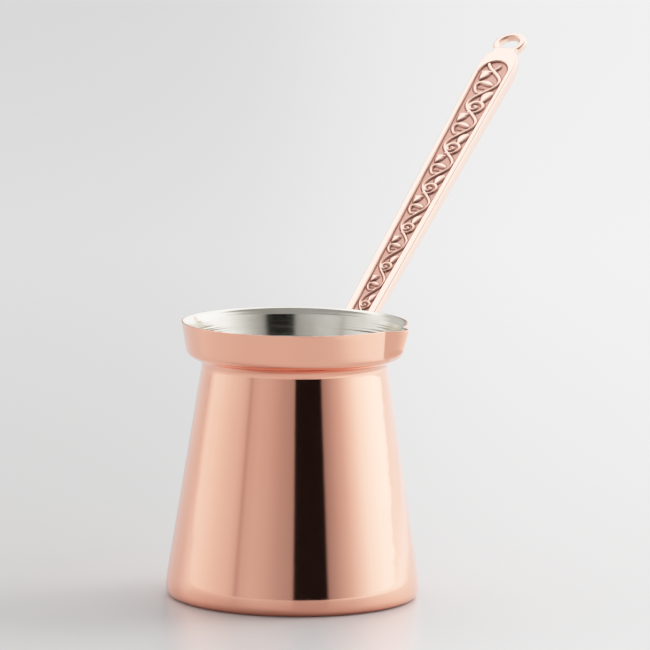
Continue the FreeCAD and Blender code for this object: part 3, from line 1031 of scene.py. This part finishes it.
# Brightness of the studio's walls by bearing from the camera, in degrees, + to its
# right: a dark corner behind, the soft box on the left, a grey wall, the dark gap in
# it, and the wide soft box on the right.
WALLS = [
    (-180, 0.25), (-166, 0.30), (-155, 0.85), (-140, 0.90), (-127, 0.95), (-113, 1.90),
    (-98, 1.75), (-80, 1.38), (-65, 1.15), (-57, 0.92), (-54, 0.62), (-49, 0.84),
    (-40, 0.91), (-28, 0.82), (-14, 0.62), (-0.5, 0.50),
    (1.5, 0.012), (31.5, 0.012), (34, 0.42), (42, 0.62), (55, 1.0), (67, 1.6), (80, 2.4),
    (95, 3.0), (110, 3.4), (125, 3.3), (140, 2.9), (160, 2.6), (178, 2.2), (180, 0.95),
]
WALLS_BRIGHTEST = 4.0
# The walls turn into the ceiling over these degrees of height. The ceiling changes
# from bright behind to dark in front over these shares of the way to the camera.
CEILING_CLIMB = (32, 50)
CEILING_FRONT = 0.45
CEILING_BACK = 3.3
CEILING_EDGE = (-0.38, -0.08)
BACKDROP = 1.6
KEY_POWER = 9.0
KEY_SIZE = 0.6
KEY_PLACE = (1.1, 0.5, 1.2)


def add_world():
    """The walls and the ceiling, all far away; the camera itself sees an even backdrop."""
    world = bpy.data.worlds.new("studio")
    world.use_nodes = True
    nodes, links = world.node_tree.nodes, world.node_tree.links
    background = nodes["Background"]
    place = nodes.new("ShaderNodeTexCoord")
    toward = split_turned(nodes, links, place.outputs["Generated"], math.pi / 2 - CAMERA_AZIMUTH)
    bearing = nodes.new("ShaderNodeMath")
    bearing.operation = "ARCTAN2"
    links.new(toward["Y"], bearing.inputs[0])
    links.new(toward["X"], bearing.inputs[1])
    round_share = nodes.new("ShaderNodeMapRange")
    round_share.inputs["From Min"].default_value = -math.pi
    round_share.inputs["From Max"].default_value = math.pi
    links.new(bearing.outputs["Value"], round_share.inputs["Value"])
    stops = []
    for degrees, level in WALLS:
        grey = level / WALLS_BRIGHTEST
        stops.append((0.5 + degrees / 360, (grey, grey, grey, 1)))
    walls = add_ramp(nodes, links, round_share.outputs["Result"], stops)
    climb = [math.sin(math.radians(degrees)) for degrees in CEILING_CLIMB]
    height = add_fade(nodes, links, toward["Z"], climb, (0, 1))
    levels = (CEILING_BACK / WALLS_BRIGHTEST, CEILING_FRONT / WALLS_BRIGHTEST)
    room = add_mix(nodes, links, height, walls)
    links.new(add_fade(nodes, links, toward["X"], CEILING_EDGE, levels), room.inputs["B"])
    rays = nodes.new("ShaderNodeLightPath")
    seen = add_mix(nodes, links, rays.outputs["Is Camera Ray"], room.outputs["Result"])
    grey = BACKDROP / WALLS_BRIGHTEST
    seen.inputs["B"].default_value = (grey, grey, grey, 1)
    links.new(seen.outputs["Result"], background.inputs["Color"])
    background.inputs["Strength"].default_value = WALLS_BRIGHTEST
    bpy.context.scene.world = world


def add_key_light():
    """A soft box above the floor at the right and behind, kept out of the reflections."""
    data = bpy.data.lights.new("key_light", "AREA")
    data.energy = KEY_POWER
    data.size = KEY_SIZE
    light = bpy.data.objects.new("key_light", data)
    light.visible_glossy = False
    turn = Matrix.Rotation(CAMERA_AZIMUTH, 3, "Z")
    light.location = turn @ Vector(KEY_PLACE)
    light.rotation_euler = (-light.location).to_track_quat("-Z", "Y").to_euler()
    bpy.context.scene.collection.objects.link(light)


TONE_WHITE = 4.0
TONE_SHOULDER = 1.06


def set_tone_curve():
    """A photographic curve: straight in the shadows, with a long soft shoulder."""
    settings = bpy.context.scene.view_settings
    settings.view_transform = "Standard"
    settings.use_curve_mapping = True
    mapping = settings.curve_mapping
    mapping.white_level = (TONE_WHITE, TONE_WHITE, TONE_WHITE)
    curve = mapping.curves[3]
    for light in (0.25, 0.5, 0.75, 1.0, 1.5, 2.0, 3.0):
        shown = light / math.sqrt(1 + (light / TONE_SHOULDER) ** 2)
        curve.points.new(light / TONE_WHITE, shown)
    curve.points[-1].location = (1.0, 1.0)
    mapping.update()


def add_studio():
    add_camera()
    add_floor()
    add_world()
    add_key_light()
    set_tone_curve()


# ---------------------------------------------------------------- assembly

def finish_piece(piece, node, material):
    """Give a piece its material and set it in place of its solid."""
    piece.data.materials.clear()
    piece.data.materials.append(material)
    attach(piece, "root")
    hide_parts(node)


def build_pot():
    copper = polished_copper()
    cast = cast_copper()
    finish_piece(shell_piece(), "pot_shell", copper)
    finish_piece(tin_piece(), "tin_lining", wiped_tin())
    finish_piece(handle_piece(), "handle", cast)
    for node in ("rivet_left", "rivet_right", "rivet_lower"):
        finish_piece(rivet_piece(node), node, copper)


add_studio()
build_pot()
bpy.context.view_layer.update()
